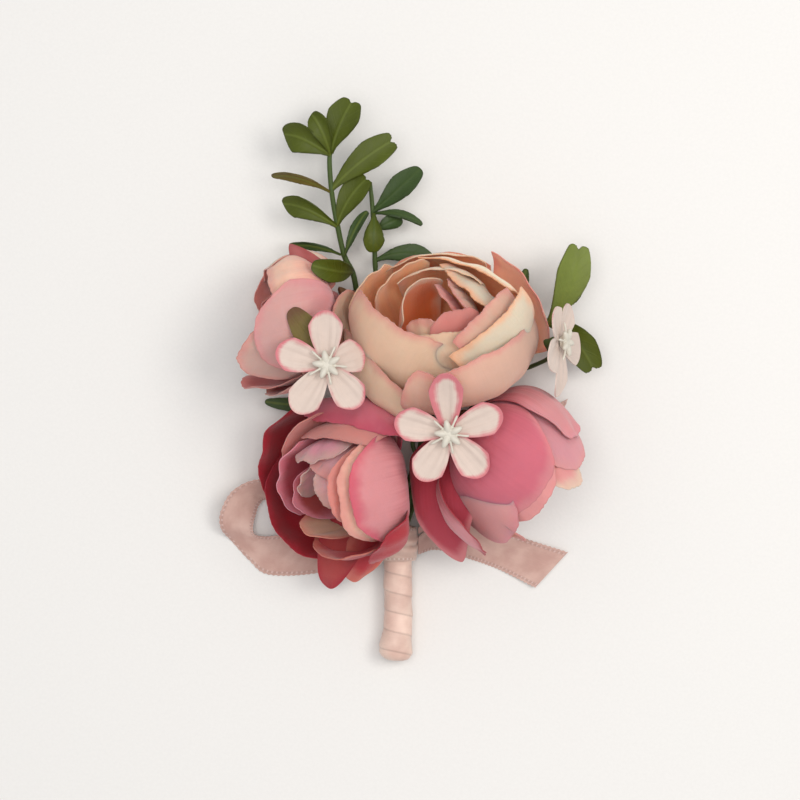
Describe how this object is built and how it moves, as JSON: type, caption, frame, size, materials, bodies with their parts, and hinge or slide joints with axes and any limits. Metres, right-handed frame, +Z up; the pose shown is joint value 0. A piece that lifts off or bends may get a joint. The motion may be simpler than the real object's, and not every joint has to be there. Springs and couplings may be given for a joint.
{
  "type": "corsage",
  "caption": "Corsage of pink cloth roses, white star blossoms and green sprays on a ribbon-wound stem handle with a tied satin ribbon, lying flat.",
  "frame": {"origin": "middle of the flat underside of the ribbon-wound handle, on the table", "axes": "+Y along the handle from its cut end towards the blooms, +X to the right seen from above, +Z up from the table"},
  "size_m": [0.0965, 0.1417, 0.0455],
  "materials": {
    "peach_cloth": "matt woven cloth, cream with pink edges",
    "blush_cloth": "matt woven cloth, pale pink with deeper edges",
    "crimson_cloth": "matt woven cloth, crimson to hot pink",
    "rose_cloth": "matt woven cloth, hot pink to pale pink",
    "white_cloth": "matt woven cloth, white with pink edges",
    "white_plastic": "moulded, satin",
    "leaf_plastic": "moulded leaves, satin",
    "dark_leaf_plastic": "moulded leaves, satin",
    "stem_plastic": "moulded, dull",
    "satin_ribbon": "satin ribbon, pale pink, soft sheen"
  },
  "bodies": {
    "root": {"peach_bloom": "peach_cloth", "peach_bloom_stem": "stem_plastic", "blush_bloom": "blush_cloth", "blush_bloom_stem": "stem_plastic", "crimson_bloom": "crimson_cloth", "crimson_bloom_stem": "stem_plastic", "rose_bloom": "rose_cloth", "rose_bloom_stem": "stem_plastic", "left_blossom_petals": "white_cloth", "left_blossom_stamens": "white_plastic", "left_blossom_stem": "stem_plastic", "centre_blossom_petals": "white_cloth", "centre_blossom_stamens": "white_plastic", "centre_blossom_stem": "stem_plastic", "right_blossom_petals": "white_cloth", "right_blossom_stamens": "white_plastic", "right_blossom_stem": "stem_plastic", "left_spray": "leaf_plastic", "middle_spray": "dark_leaf_plastic", "right_spray": "leaf_plastic", "handle_wrap": "satin_ribbon", "ribbon_knot": "satin_ribbon", "ribbon_loop": "satin_ribbon", "ribbon_tail": "satin_ribbon", "ribbon_upper_tail": "satin_ribbon"}
  },
  "joints": []
}
